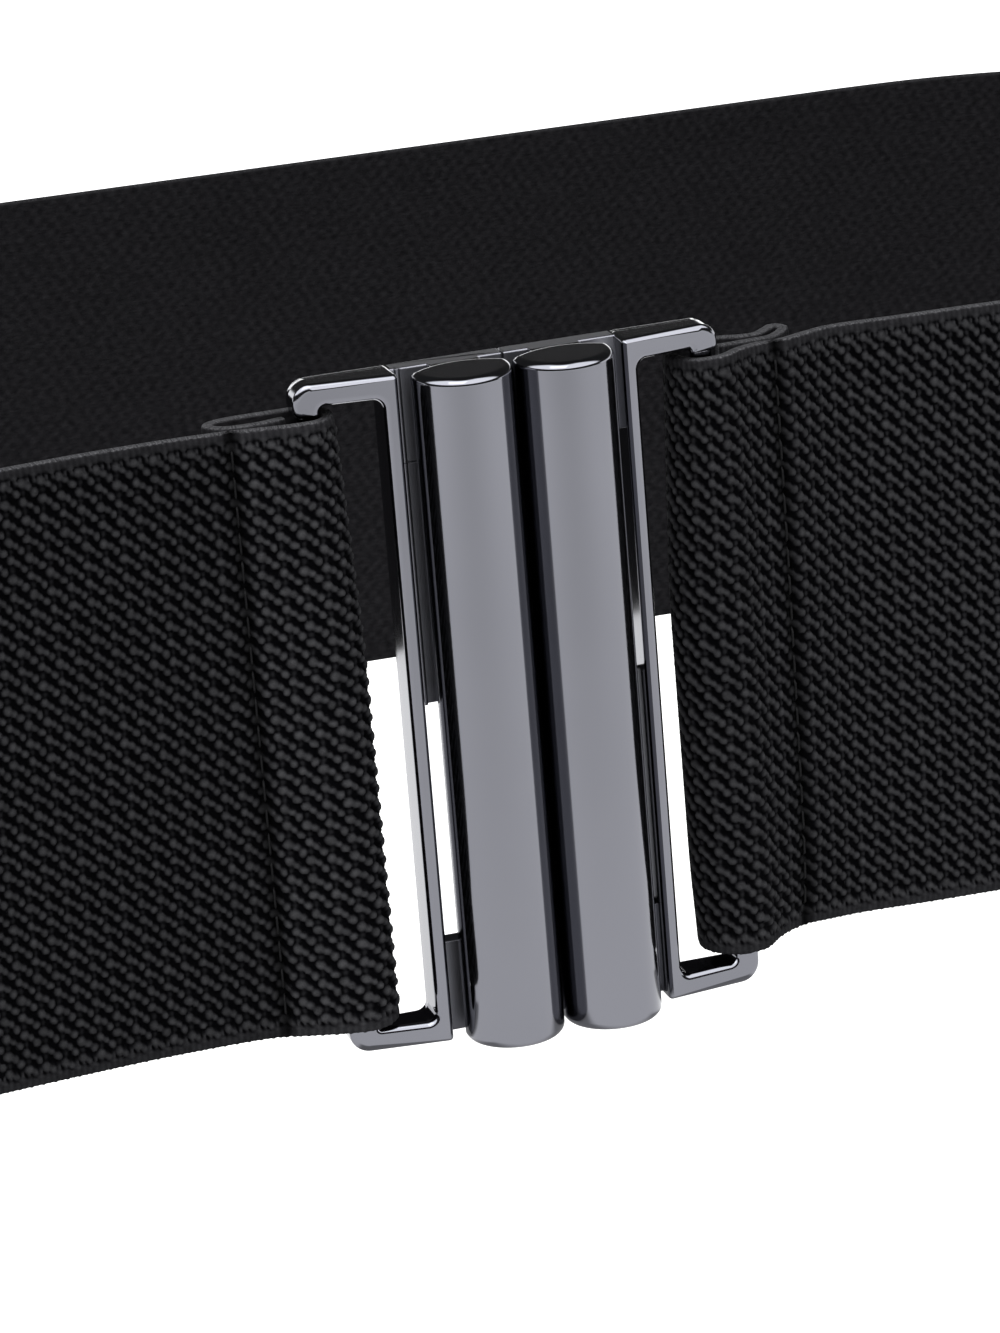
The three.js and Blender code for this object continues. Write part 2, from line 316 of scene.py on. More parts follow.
def end_route(rows, front_rows, hem, rooms, shares, up):
    """Control points of one strap end for each width level: hem, fold and first front run."""
    rear_room, front_room, nose_room = rooms
    pinch, bulge, dip = (width_share(values, up) * size for values, size in shares)
    fold = rear_room + strap_bar_depth + front_room + band_thickness
    rear = rear_room - knuckle_back + band_thickness / 2
    nose = strap_bar_width / 2 + nose_room + band_thickness / 2 - pinch
    points = []

    def at(out, back):
        drawn_back = dip * max(0.0, 1 - abs(out - dip_seam) / dip_spread)
        x = np.full_like(pinch, strap_bar_axis + out * hem)
        return x, rear + back * fold + drawn_back

    for out, back in rows:
        points.append(at(out, back))
    for i in range(fold_facets + 1):
        angle = math.pi * i / fold_facets
        back = rear - (fold + bulge) / 2 * (1 - math.cos(angle))
        points.append((strap_bar_axis - nose * math.sin(angle), back))
    for out, back in front_rows:
        x, y = at(out, back)
        points.append((x, y - bulge * max(0.0, 1 - out)))
    return np.array(points).transpose(0, 2, 1)


def arc(centre, radius, start, end):
    count = math.ceil(abs(end - start) * radius / run_step)
    angles = start + (end - start) * np.arange(count + 1) / count
    return np.stack([centre[0] + radius * np.cos(angles), centre[1] + radius * np.sin(angles)], -1)


def line(start, end, count=None):
    """Points between start and end: count of them, or as many as the run's step asks for."""
    if count is None:
        count = math.ceil(np.linalg.norm(end - start) / run_step) - 1
    shares = (np.arange(1, count + 1) / (count + 1))[:, None]
    return start + (end - start) * shares


def loop_route():
    left_centre = np.array([-loop_half_length, left_end_radius - left_front])
    right_centre = np.array([loop_half_length, right_end_radius - right_front])
    across, depth = right_centre - left_centre
    lean = math.atan2(depth, across)
    taper = math.asin((left_end_radius - right_end_radius) / math.hypot(across, depth))
    back_angle = math.pi / 2 + lean - taper
    left = arc(left_centre, left_end_radius, 1.5 * math.pi, back_angle)
    right = arc(right_centre, right_end_radius, back_angle, -0.5 * math.pi)
    return np.concatenate([left, line(left[-1], right[0]), right])


class MiddleLine:
    """The webbing's middle line at any height, as a smooth curve through its control points."""

    def __init__(self):
        samples_per_span = 24
        points = self.controls(np.array([0.5]))
        self.spans = len(points) - 1
        self.fine = np.linspace(0, self.spans, self.spans * samples_per_span + 1)
        path = self.curve(points, self.fine)[:, 0]
        steps = np.linalg.norm(np.diff(path, axis=0), axis=1)
        self.lengths = np.concatenate([[0], np.cumsum(steps)])
        self.length = self.lengths[-1]
        left_count, right_count = self.end_counts
        self.left_fold = self.length_at(len(left_hem_rows) + fold_facets / 2)
        self.right_fold = self.length_at(self.spans - len(right_hem_rows) - fold_facets / 2)
        self.left_held = self.length_at(left_count - 1)
        self.right_held = self.length_at(self.spans - right_count + 1)
        left_x = -strap_bar_axis - left_seam_out * left_hem
        right_x = strap_bar_axis + right_seam_out * right_hem
        left, right = self.left_fold, self.right_fold
        self.left_seam = self.length_near(left_x, left, left + seam_reach, seam_samples)
        self.right_seam = self.length_near(right_x, right - seam_reach, right, seam_samples)

    def controls(self, up):
        """Control points for each width level: (controls, levels, 2)."""
        left = end_route(*left_end, up) * [-1, 1]
        right = end_route(*right_end, up)[::-1]
        self.end_counts = (len(left), len(right))
        loop = loop_route()
        to_count = len(line(left[-1, 0], loop[0]))
        from_count = len(line(loop[-1], right[0, 0]))
        levels = []
        for i in range(len(up)):
            to_loop = line(left[-1, i], loop[0], to_count)
            from_loop = line(loop[-1], right[0, i], from_count)
            levels.append(np.concatenate([left[:, i], to_loop, loop, from_loop, right[:, i]]))
        return np.stack(levels, 1)

    def curve(self, points, places):
        """Centripetal curve: points is (controls, levels, 2) and places counts spans."""
        first = 2 * points[:1] - points[1:2]
        last = 2 * points[-1:] - points[-2:-1]
        ends = np.concatenate([first, points, last])
        span = np.clip(np.floor(places).astype(int), 0, len(points) - 2)
        share = (places - span)[:, None, None]
        p0, p1, p2, p3 = (ends[span + k] for k in range(4))
        d0, d1, d2 = (
            np.sqrt(np.linalg.norm(b - a, axis=-1, keepdims=True))
            for a, b in ((p0, p1), (p1, p2), (p2, p3))
        )
        t1 = ((p1 - p0) / d0 - (p2 - p0) / (d0 + d1) + (p2 - p1) / d1) * d1
        t2 = ((p2 - p1) / d1 - (p3 - p1) / (d1 + d2) + (p3 - p2) / d2) * d1
        c2 = 3 * (p2 - p1) - 2 * t1 - t2
        c3 = 2 * (p1 - p2) + t1 + t2
        return p1 + share * (t1 + share * (c2 + share * c3))

    def length_at(self, place):
        return float(np.interp(place, self.fine, self.lengths))

    def length_near(self, x, low, high, samples):
        """The length between low and high at which the strip passes closest to x."""
        lengths = np.linspace(0, self.length, samples)
        here, _ = self.sections(lengths, np.array([band_width / 2]))
        inside = (lengths > low) & (lengths < high)
        away = np.where(inside, abs(here[:, 0, 0] - x), np.inf)
        return float(lengths[np.argmin(away)])

    def sections(self, lengths, up):
        """Places and outward normals in plan at heights up, each (stations, levels, 2)."""
        places = np.interp(lengths, self.lengths, self.fine)
        points = self.controls(np.clip(up / band_width, 0, 1))
        here = self.curve(points, places)
        step = 0.02
        ahead = self.curve(points, np.clip(places + step, 0, self.spans))
        behind = self.curve(points, np.clip(places - step, 0, self.spans))
        along = ahead - behind
        along /= np.linalg.norm(along, axis=-1, keepdims=True)
        outward = np.stack([-along[..., 1], along[..., 0]], -1)
        return here, outward

    def rise(self, lengths):
        """How high the webbing's lower edge lies: held up at the buckle, on the floor behind."""
        free = np.minimum(lengths - self.left_held, self.right_held - lengths)
        return band_rise * (1 - smooth_step(free, 0, sag_length))


midline = MiddleLine()


# Shader nodes


class Nodes:
    """Short calls for building a tree of shader nodes."""

    def __init__(self, tree=None):
        self.tree = tree

    def feed(self, socket, value):
        """Link a socket to another node's output, or set it to a number or a colour."""
        if isinstance(value, bpy.types.NodeSocket):
            self.tree.links.new(value, socket)
        else:
            socket.default_value = value

    def new(self, kind, inputs=(), **settings):
        """A new node, with its inputs in their order or by name."""
        node = self.tree.nodes.new("ShaderNode" + kind)
        for key, value in settings.items():
            setattr(node, key, value)
        named = inputs if isinstance(inputs, dict) else dict(enumerate(inputs))
        for key, value in named.items():
            self.feed(node.inputs[key], value)
        return node

    def surface(self, settings):
        """The inputs of the material's own shader, by name."""
        for key, value in settings.items():
            self.feed(self.tree.nodes["Principled BSDF"].inputs[key], value)

    def attribute(self, name, output="Fac"):
        return self.new("Attribute", attribute_name=name).outputs[output]

    def coordinates(self, output="Object"):
        return self.new("TexCoord").outputs[output]

    def split(self, vector):
        return self.new("SeparateXYZ", (vector,)).outputs

    def seen(self):
        """1 where the camera looks straight at it, and 0 in mirrored and scattered light."""
        return self.new("LightPath").outputs["Is Camera Ray"]

    def math(self, operation, *inputs):
        return self.new("Math", inputs, operation=operation).outputs[0]

    def times(self, first, second):
        return self.math("MULTIPLY", first, second)

    def minus(self, first, second):
        return self.math("SUBTRACT", first, second)

    def times_plus(self, first, second, added):
        return self.math("MULTIPLY_ADD", first, second, added)

    def step(self, value, low, high):
        inputs = {"Value": value, "From Min": low, "From Max": high}
        return self.new("MapRange", inputs, interpolation_type="SMOOTHSTEP").outputs[0]

    def mix(self, share, low, high):
        return self.new("Mix", {0: share, 2: low, 3: high}, data_type="FLOAT").outputs[0]

    def mix_colours(self, share, low, high, blend="MIX"):
        inputs = {0: share, 6: low, 7: high}
        return self.new("Mix", inputs, data_type="RGBA", blend_type=blend).outputs[2]

    def noise(self, vector, scale, detail=2.0, roughness=0.5):
        """Noise of one scale, or of one scale along each axis."""
        if isinstance(scale, tuple):
            vector = self.new("VectorMath", (vector, scale), operation="MULTIPLY").outputs[0]
            scale = 1.0
        inputs = {"Vector": vector, "Scale": scale, "Detail": detail, "Roughness": roughness}
        return self.new("TexNoise", inputs).outputs["Fac"]

    def ramp(self, value, stops):
        node = self.new("ValToRGB", (value,))
        elements = node.color_ramp.elements
        while len(elements) < len(stops):
            elements.new(0.5)
        for element, (place, *colour) in zip(elements, stops):
            element.position = place
            element.color = (*colour, 1)
        return node.outputs[0]

    def bump(self, height, strength, distance):
        inputs = {"Height": height, "Strength": strength, "Distance": distance}
        return self.new("Bump", inputs).outputs[0]


class Numbers(Nodes):
    """The same calls for numbers, which are worked out at once."""

    operations = {
        "MULTIPLY": np.multiply,
        "SUBTRACT": np.subtract,
        "DIVIDE": np.divide,
        "MINIMUM": np.minimum,
        "MAXIMUM": np.maximum,
        "SQRT": np.sqrt,
        "MULTIPLY_ADD": lambda first, second, added: first * second + added,
        "WRAP": lambda value, high, low: (value - low) % (high - low) + low,
    }

    def math(self, operation, *inputs):
        return self.operations[operation](*inputs)


# The weave


def bone_slope(middle_along, middle_up):
    """The way that a bone points: from the lobe before its middle to the lobe after it."""
    before = [lobe for lobe in lobes[:3] if lobe[0] < middle_along][-1]
    after = [lobe for lobe in lobes[:3] if lobe[0] > middle_along]
    end = after[0][:2] if after else (repeat_along, -repeat_up)
    run = end[0] - before[0]
    drop = end[1] - before[1]
    length = math.hypot(run, drop)
    return run / length, drop / length


def along_strip(lengths, hem, left, right, hem_blend):
    """A value that goes from the left hem's to the left run's, and behind to the right's."""
    left_run = smooth_step(lengths, midline.left_seam - seam_blend, midline.left_seam + hem_blend)
    far_side = midline.length / 2
    right_run = smooth_step(lengths, far_side - far_side_blend, far_side + far_side_blend)
    return hem + (left - hem) * left_run + (right - left) * right_run


def woven(lengths):
    """Lengths as counted by the weave, whose repeats are pulled longer or shorter."""
    samples = 20001
    fine = np.linspace(0, midline.length, samples)
    repeat = along_strip(fine, hem_repeat, left_repeat, right_repeat, hem_repeat_blend)
    steps = repeat_along / repeat * (fine[1] - fine[0])
    counted = np.concatenate([[0], np.cumsum((steps[1:] + steps[:-1]) / 2)])
    return np.interp(lengths, fine, counted)


def wandering(waves, along, up):
    """How far the woven rows wander from their places."""
    away = 0
    for size, by_along, by_up, start in waves:
        away = away + size * np.sin(by_along * along + by_up * up + start)
    return away


def weave_height(n, along, up, rightness):
    """From 0 in the grooves to 1 on top of the largest lobes, in numbers or in nodes."""

    def from_place(place_along, place_up):
        x = n.math("WRAP", n.minus(along, place_along), repeat_along / 2, -repeat_along / 2)
        y = n.math("WRAP", n.minus(up, place_up), repeat_up / 2, -repeat_up / 2)
        return x, y

    def raised(height, x, y, left_height, right_height):
        square = n.times_plus(x, x, n.times(y, y))
        rounded = n.math("SQRT", n.math("MAXIMUM", n.minus(1.0, square), 0.0))
        stands = left_height + (right_height - left_height) * rightness
        return n.math("MAXIMUM", height, n.times(rounded, stands))

    height = 0.0
    for lobe_along, lobe_up, half_width, half_height, *heights in lobes:
        x, y = from_place(lobe_along, lobe_up)
        x = n.math("DIVIDE", x, half_width)
        y = n.math("DIVIDE", y, half_height)
        height = raised(height, x, y, *heights)
    for middle_along, middle_up, half_length, radius, *heights in bones:
        slope = bone_slope(middle_along, middle_up)
        x, y = from_place(middle_along, middle_up)
        reach = n.times_plus(x, slope[0], n.times(y, slope[1]))
        reach = n.math("MINIMUM", n.math("MAXIMUM", reach, -half_length), half_length)
        x = n.math("DIVIDE", n.minus(x, n.times(reach, slope[0])), radius)
        y = n.math("DIVIDE", n.minus(y, n.times(reach, slope[1])), radius)
        height = raised(height, x, y, *heights)
    return height


# Meshes


def mesh_object(name, places, faces, attributes=None):
    """An object from places in millimetres in the buckle's own frame."""
    shifted = np.reshape(places, (-1, 3)) + [buckle_x, buckle_y, 0]
    mesh = bpy.data.meshes.new(name)
    mesh.from_pydata((shifted * MM).tolist(), [], faces)
    for key, values in (attributes or {}).items():
        values = np.asarray(values, np.float32)
        kind = "FLOAT_VECTOR" if values.ndim == 2 else "FLOAT"
        layer = mesh.attributes.new(key, kind, "POINT")
        layer.data.foreach_set("vector" if values.ndim == 2 else "value", values.ravel())
    mesh.validate()
    mesh.update()
    return placed(name, mesh)


def grid_faces(rows, columns, closed=False):
    """Quads of a grid of rows by columns, whose columns may close into rings."""
    last = columns if closed else columns - 1
    faces = []
    for i in range(rows - 1):
        start = i * columns
        for j in range(last):
            k = (j + 1) % columns
            faces.append((start + j, start + k, start + columns + k, start + columns + j))
    return faces


def closed_faces(rows, columns):
    """Quads of a grid of closed rings, with a face over the first ring and over the last."""
    faces = grid_faces(rows, columns, closed=True)
    faces.append(tuple(range(columns))[::-1])
    faces.append(tuple(range((rows - 1) * columns, rows * columns)))
    return faces


# Skins of real weave over the two front runs
left_skin_length = 42.0
right_skin_length = 44.0
skin_turn = 2.0
skin_fade = 2.5
skin_base = -0.34
faded_depth = 1.12
bare_depth = 0.12
columns_per_repeat = 12
rows_per_repeat = 9
weave_gain = 0.99
hem_gain = 0.03
ragged_waves = [(0.05, tooth_pitch), (0.03, 1.13)]

# The strip under them: its round edges and the spacing of its mesh
edge_round = 0.34
strip_edge_steps = 4
skin_edge_steps = 5
face_rows = 30
end_step = 0.4
far_step = 2.0
fine_end = 16.0

# The cut edge's painted highlight: at what turns of the round edge it is painted and how high up, where
# painted shade makes it darker towards the back and where the folds turn, and by how much
highlight_turns = (30, 62)
highlight_levels = (30, 40)
highlight_back = (90, 150)
highlight_back_loss = 0.75
highlight_fold = (2.6, 4.6)
highlight_at_folds = 0.12


def strip_places(lengths, up, lifted, offset):
    """Places on the strip: of the line at up, moved outward by offset and raised to lifted."""
    here, outward = midline.sections(lengths, up)
    z = np.broadcast_to(midline.rise(lengths)[:, None] + lifted, offset.shape)
    return np.concatenate([here + outward * offset[..., None], z[..., None]], -1)


def skin_spans():
    """Where the left and the right skin begin and end along the strip."""
    left = (midline.left_fold - skin_turn, midline.left_fold + left_skin_length)
    right = (midline.right_fold - right_skin_length, midline.right_fold + skin_turn)
    return left, right


def skin_share(lengths):
    """1 where the real weave covers the strip, and 0 elsewhere."""
    share = np.zeros_like(lengths)
    for start, end in skin_spans():
        begun = smooth_step(lengths, start, start + skin_fade)
        share = np.maximum(share, begun * (1 - smooth_step(lengths, end - skin_fade, end)))
    return share


def seam_share(lengths):
    """1 in the middle of a sewn seam and 0 away from it."""
    share = np.zeros_like(lengths)
    for seam in (midline.left_seam, midline.right_seam):
        share += np.exp(-(((lengths - seam) / seam_width) ** 2))
    return share


def edge_highlight(lengths):
    """The cut edge's painted highlight: light in front, darker behind, dark where the strip turns, as
    painted shade.
    """
    from_fold = np.minimum(abs(lengths - midline.left_fold), abs(lengths - midline.right_fold))
    from_end = np.minimum(lengths, midline.length - lengths)
    front = 1 - highlight_back_loss * smooth_step(from_end, *highlight_back)
    unfolded = smooth_step(from_fold, *highlight_fold)
    return front * (highlight_at_folds + (1 - highlight_at_folds) * unfolded)


def edge_ring(steps):
    """The section's upper outer edge: up, out from the middle, and the turn."""
    half = band_thickness / 2
    ring = []
    for k in range(1, steps + 1):
        turn = QUARTER * k / steps
        up = band_width - edge_round + edge_round * math.sin(turn)
        ring.append((up, half - edge_round * (1 - math.cos(turn)), turn))
    return ring


def strip_attributes(lengths, up, turn, height, own_weave, outside):
    """Values that the webbing's material reads at each point."""
    shape = (len(lengths), len(up))

    def spread(values):
        return np.broadcast_to(values, shape).ravel()

    along = -woven(lengths)[:, None]
    # Where the upper round edge turns up, the cut edge's painted highlight goes
    top = smooth_step(np.degrees(turn), *highlight_turns) * smooth_step(up, *highlight_levels)
    pale = along_strip(lengths, fold_paleness, left_paleness, right_paleness, seam_blend)
    return {
        "strip": np.stack([spread(along), spread(up[None, :]), spread(0.0)], -1),
        "weave": spread(height),
        "own_weave": spread(own_weave),
        "edge": spread(top[None, :] * edge_highlight(lengths)[:, None]),
        "seam": spread(seam_share(lengths)[:, None]),
        "paleness": spread(pale[:, None]),
        "outside": spread(outside),
    }


def strip_section():
    """The strip's section all round: up, out, the edge's turn, and 1 outside or -1 inside."""
    face_up = np.linspace(edge_round, band_width - edge_round, face_rows)
    edge = edge_ring(strip_edge_steps)
    rising = [(up, band_thickness / 2, 0.0) for up in face_up] + edge
    foot = [(band_width - up, offset, turn) for up, offset, turn in edge]
    ring = [(up, offset, turn, 1.0) for up, offset, turn in rising]
    ring += [(up, -offset, turn, -1.0) for up, offset, turn in reversed(rising)]
    ring += [(up, -offset, turn, -1.0) for up, offset, turn in foot]
    ring += [(up, offset, turn, 1.0) for up, offset, turn in reversed(foot)]
    return np.array(ring)


def make_band():
    """The whole strip as one closed mesh with round edges."""
    left_end = midline.left_fold + fine_end
    right_end = midline.right_fold - fine_end
    stretches = [
        (0.0, left_end, end_step),
        (left_end, right_end, far_step),
        (right_end, midline.length, end_step),
    ]
    stations = []
    for start, end, step in stretches:
        stations.append(np.linspace(start, end, math.ceil((end - start) / step), endpoint=False))
    lengths = np.concatenate([*stations, [midline.length]])
    up, offset, turn, face = strip_section().T
    covered = skin_share(lengths)[:, None]
    sunk = np.where(face > 0, skin_base * covered - bare_depth * (1 - covered), 0)
    dent = np.where(face > 0, seam_depth * seam_share(lengths)[:, None], 0)
    places = strip_places(lengths, up, up, offset + sunk * np.cos(turn) - dent)
    outside = (face + 1) / 2
    attributes = strip_attributes(lengths, up, turn, 0.0, 0.0, outside)
    faces = closed_faces(len(lengths), len(up))
    return mesh_object("webbing", places, faces, attributes)


def skin_height(lengths, up, rightness):
    """The skin's weave: twill, teeth along its edges, and the plain selvedge."""
    along = -woven(lengths)[:, None]
    from_edge = np.minimum(up, band_width - up)[None, :]
    twill = smooth_step(from_edge, selvedge - selvedge_blend, selvedge + selvedge_blend)
    plain = plain_height + plain_wave * np.cos(2 * math.pi * along / tooth_pitch)
    tooth_row = np.exp(-(((from_edge - selvedge - tooth_inset) / tooth_spread) ** 2))
    teeth = tooth_height * tooth_row * np.cos(math.pi * along / tooth_pitch) ** 2
    moved_along = along + wandering(wander_waves, along, up)
    moved_up = up + wandering(climb_waves, along, up)
    height = weave_height(Numbers(), moved_along, moved_up, rightness)
    height = np.maximum(height * twill + plain * (1 - twill), teeth * twill)
    seam = midline.left_seam
    on_hem = 1 - smooth_step(lengths, seam - seam_blend, seam + seam_blend)[:, None]
    return height * (weave_gain + hem_gain * np.maximum(on_hem, 0.5 * rightness))


def make_skin(name, span, rightness):
    """The outer face over a span of the strip as a closely set grid that carries the weave."""
    lengths = np.arange(*span, repeat_along / columns_per_repeat)
    face_up = np.arange(edge_round, band_width - edge_round, repeat_up / rows_per_repeat)
    face_up = np.append(face_up, band_width - edge_round)
    top = edge_ring(skin_edge_steps)
    bottom = [(band_width - up, offset, turn) for up, offset, turn in reversed(top)]
    ring = np.array(bottom + [(up, band_thickness / 2, 0.0) for up in face_up] + top)
    up, offset, turn = ring.T
    share = skin_share(lengths)[:, None]
    height = skin_height(lengths, up, rightness)
    raised = (height - relief_middle) * relief_depth * share
    moved = raised + skin_base * faded_depth * (1 - share)
    moved = (moved - seam_depth * seam_share(lengths)[:, None]) * np.cos(turn)[None, :]
    along = -woven(lengths)[:, None]
    ragged = sum(size * np.sin(2 * math.pi * along / pitch) for size, pitch in ragged_waves)
    lifted = up[None, :] + ragged * (np.sin(turn) * np.sign(up - band_width / 2))[None, :]
    places = strip_places(lengths, up, lifted, offset + moved)
    attributes = strip_attributes(lengths, up, turn, height, 1.0, 1.0)
    faces = grid_faces(len(lengths), len(ring))
    return mesh_object(name, places, faces, attributes)


# Stitches of the two seams: their places up the webbing, their shape, how deep they lie in
# front and on the rear layer, and between which lengths past the folds that layer is looked for
stitch_low = 2.0
stitch_high = band_width - 1.5
stitch_pitch = 2.7
stitch_length = 2.3
thread_radius = 0.14
thin_end = 0.35
stitch_arch = 0.3
stitch_sides = 6
stitch_rings = 7
front_stitch_depth = seam_depth + 0.27
rear_stitch_depth = 0.31
rear_near = 2.0
rear_far = 18.0
rear_samples = 12001


def make_stitches(name, seam, behind):
    """Short rounded stitches down a seam, in front and on the rear layer in the stretch behind."""
    here, _ = midline.sections(np.array([seam]), np.array([band_width / 2]))
    rear = midline.length_near(here[0, 0, 0], *behind, rear_samples)
    places = []
    faces = []
    for length, depth in ((seam, front_stitch_depth), (rear, rear_stitch_depth)):
        rise = midline.rise(np.array([length]))[0]
        for low in np.arange(stitch_low, stitch_high - stitch_length, stitch_pitch):
            levels = low + stitch_length * np.linspace(0, 1, stitch_rings)
            centre, outward = midline.sections(np.array([length]), levels)
            first = len(places)
            for k in range(stitch_rings):
                arch = math.sin(math.pi * k / (stitch_rings - 1))
                radius = thread_radius * (thin_end + (1 - thin_end) * min(1.0, 3 * arch))
                out = outward[0, k]
                side = np.array([-out[1], out[0]])
                lift = band_thickness / 2 - depth + stitch_arch * min(1.0, 2 * arch)
                for j in range(stitch_sides):
                    angle = 2 * math.pi * j / stitch_sides
                    around = radius * (math.cos(angle) * out + math.sin(angle) * side)
                    x, y = centre[0, k] + out * lift + around
                    places.append((x, y, rise + levels[k]))
            for face in closed_faces(stitch_rings, stitch_sides):
                faces.append(tuple(first + index for index in face))
    return mesh_object(name, places, faces)


# The cast buckle halves. A corner of an outline that nothing stops may move inward this far.
no_limit = 1e3


def sides(outline):
    """The side before and the side after each corner of an outline, and their lengths."""
    before = outline - np.roll(outline, 1, axis=0)
    after = np.roll(before, -1, axis=0)
    return before, after, np.linalg.norm(before, axis=1), np.linalg.norm(after, axis=1)


def outward_offsets(outline):
    """For each corner of an anticlockwise outline, the way that its two sides move outward."""
    first, second, first_length, second_length = sides(outline)
    first = first / first_length[:, None]
    second = second / second_length[:, None]
    n1 = np.stack([first[:, 1], -first[:, 0]], -1)
    n2 = np.stack([second[:, 1], -second[:, 0]], -1)
    both = n1 + n2
    return both / (1 + np.sum(n1 * n2, axis=1, keepdims=True))


def corner_limits(outline):
    """How far each corner of an anticlockwise outline may move inward before it folds over."""
    straight = 0.02
    spare = 0.9
    before, after, before_length, after_length = sides(np.asarray(outline, float))
    turn = np.cross(before, after)
    angle = np.arcsin(np.clip(turn / (before_length * after_length), -1, 1))
    reach = np.minimum(before_length, after_length) / (2 * np.sin(np.maximum(angle, straight) / 2))
    radius = np.where(angle > straight, reach, no_limit)
    return spare * np.minimum(np.minimum(np.roll(radius, 1), np.roll(radius, -1)), radius)


def extruded(outline, low, high, edge, upright, edge_steps=4, limit=no_limit):
    """A closed solid from an outline, with round edges. upright: along Z, otherwise along Y."""
    outline = np.asarray(outline, float)
    following = np.roll(outline, -1, axis=0)
    area = np.sum(outline[:, 0] * following[:, 1] - following[:, 0] * outline[:, 1])
    if area < 0:
        outline = outline[::-1]
    away = outward_offsets(outline)
    low_edge, high_edge = edge if isinstance(edge, tuple) else (edge, edge)
    turns = QUARTER * np.arange(edge_steps + 1) / edge_steps
    levels = [(low + low_edge * (1 - math.cos(turn)), low_edge * (1 - math.sin(turn))) for turn in turns]
    for turn in reversed(turns):
        levels.append((high - high_edge * (1 - math.cos(turn)), high_edge * (1 - math.sin(turn))))
    rings = []
    for height, inset in levels:
        x, across = (outline - away * np.broadcast_to(np.minimum(inset, limit), len(outline))[:, None]).T
        fixed = np.full(len(outline), height)
        rings.append(np.stack([x, across, fixed] if upright else [x, fixed, across], -1))
    faces = closed_faces(len(rings), len(outline))
    if not upright:
        faces = [face[::-1] for face in faces]
    return np.concatenate(rings), faces


def outline_inset(outline, inset):
    """The outline moved inward a hair, so that two layers of one wall don't coincide."""
    outline = np.asarray(outline, float)
    return outline - outward_offsets(outline) * inset


def corner_arc(x, y, radius, start, end, steps=8):
    """An arc between two directions, which count quarter turns from the right."""
    angles = np.linspace(start * QUARTER, end * QUARTER, steps + 1)
    return [(x + radius * math.cos(a), y + radius * math.sin(a)) for a in angles]


def corner(x, y, radius, start, end, steps=8):
    """The round corner that takes the place of a sharp one, or its fillet where end is less."""
    way = (start + end) / 2 * QUARTER
    centre_x = x - math.copysign(radius, math.cos(way))
    centre_y = y - math.copysign(radius, math.sin(way))
    return corner_arc(centre_x, centre_y, radius, start, end, steps)


def rounded_box(left, right, low, high, radius, steps=6):
    return [
        *corner(right, low, radius, -1, 0, steps),
        *corner(right, high, radius, 0, 1, steps),
        *corner(left, high, radius, 1, 2, steps),
        *corner(left, low, radius, 2, 3, steps),
    ]


def column_outline():
    """The column in plan: a half-round front, and a flatter bow behind."""
    bow_radius = (column_radius**2 + column_bulge**2) / (2 * column_bulge)
    bow = math.asin(column_radius / bow_radius) / QUARTER
    return [
        *corner_arc(-column_axis, column_radius - column_crown, column_radius, 2, 4, 64),
        *corner_arc(-column_axis, -column_back - bow_radius, bow_radius, 1 - bow, 1 + bow, 24),
    ]


def frame_outline(knuckles):
    """The frame's front: two arms and the inner bar, open at the outer end."""
    top = buckle_height
    left = -outer_end
    right = -inner_bar_inside
    upper = top - arm_height
    lower = arm_height
    above = [(left, upper)]
    below = [(left, lower)]
    if knuckles:
        inside = -window_outside - knuckle_inset
        above = [
            *corner(left, upper - long_knuckle, long_toe, 2, 3),
            *corner(inside, upper - long_knuckle, long_heel, -1, 0),
            *corner(inside, upper, long_fillet, 2, 1),
        ]
        inside = -window_outside
        below = [
            *corner(inside, lower, short_fillet, -1, -2),
            *corner(inside, lower + short_knuckle, short_heel, 0, 1),
            *corner(left, lower + short_knuckle, short_toe, 1, 2),
        ]
    return [
        *corner(left, 0, corner_radius, 2, 3),
        *corner(right, 0, bar_corner, -1, 0, 6),
        *corner(right, top, bar_corner, 0, 1, 6),
        *corner(left, top, corner_radius, 1, 2),
        *above,
        *corner(-inner_bar_outside, upper, window_radius, 1, 0),
        *corner(-inner_bar_outside, lower, window_radius, 0, -1),
        *below,
    ]


def block(sides, depths, levels, finish):
    """An upright block with round corners and edges."""
    radius, edge, corner_steps, edge_steps = finish
    outline = rounded_box(*sides, *depths, radius, corner_steps)
    return extruded(outline, *levels, edge, True, edge_steps)


def web_parts():
    """The two webs behind the column, the rib on the upper one, and the hook tab with its lip."""
    hook_end = inner_bar_inside - hook_gap
    hook_middle = -hook_back - hook_depth / 2
    plate = (-inner_bar_inside - inner_bar_width / 2, -web_meeting)
    neck = (-column_axis - neck_width / 2, -column_axis + neck_width / 2)
    neck_front = -column_back - column_bulge / 2
    lower = (web_drop, web_height)
    upper = (buckle_height - web_height, buckle_height - web_drop)
    hook = (web_height + hook_rise, middle - hook_meeting)
    parts = []
    for levels in (lower, upper):
        parts.append(block(plate, (-web_depth, 0), levels, plate_finish))
        parts.append(block(neck, (neck_front, -web_depth / 2), levels, neck_finish))
    rib = (-hook_end, lip_width - hook_end)
    parts.append(block(rib, (-lip_reach, -web_depth / 2), upper, lip_finish))
    tab = (neck[0], hook_end)
    parts.append(block(tab, (-hook_back - hook_depth, -hook_back), hook, plate_finish))
    lip = (hook_end - lip_width, hook_end)
    parts.append(block(lip, (-lip_reach, hook_middle), hook, lip_finish))
    parts.append(block(neck, (neck_front, hook_middle), hook, neck_finish))
    return parts


